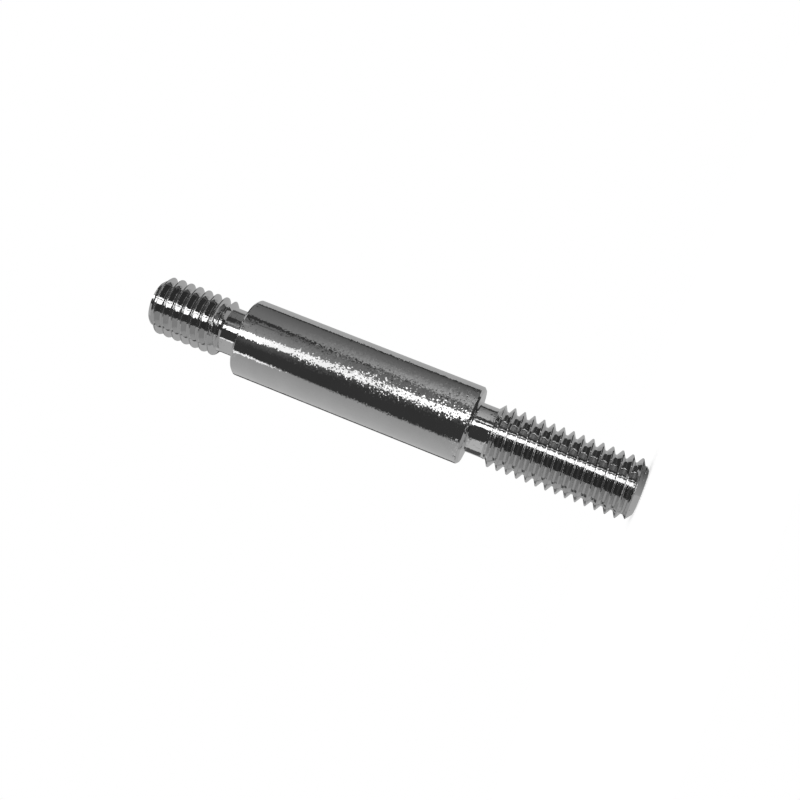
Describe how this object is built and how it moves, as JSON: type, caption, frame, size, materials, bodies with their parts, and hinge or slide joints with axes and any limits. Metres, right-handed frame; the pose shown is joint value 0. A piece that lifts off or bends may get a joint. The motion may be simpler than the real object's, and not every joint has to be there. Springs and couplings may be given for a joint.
{
  "type": "threaded stud",
  "caption": "Turned metal stud with a plain round body and a right-hand screw thread on each end, chrome plated, to join two tapped parts at a set distance.",
  "frame": {"origin": "centre of the flat end face of the long threaded end, on which the stud stands", "axes": "+Z along the stud's axis, from the long threaded end through the plain body to the short threaded end"},
  "size_m": [0.01, 0.01, 0.0645],
  "materials": {
    "chrome": "bright plating, polished, with fine grain and small pits on the body"
  },
  "bodies": {
    "root": {"stud": "chrome"}
  },
  "joints": []
}
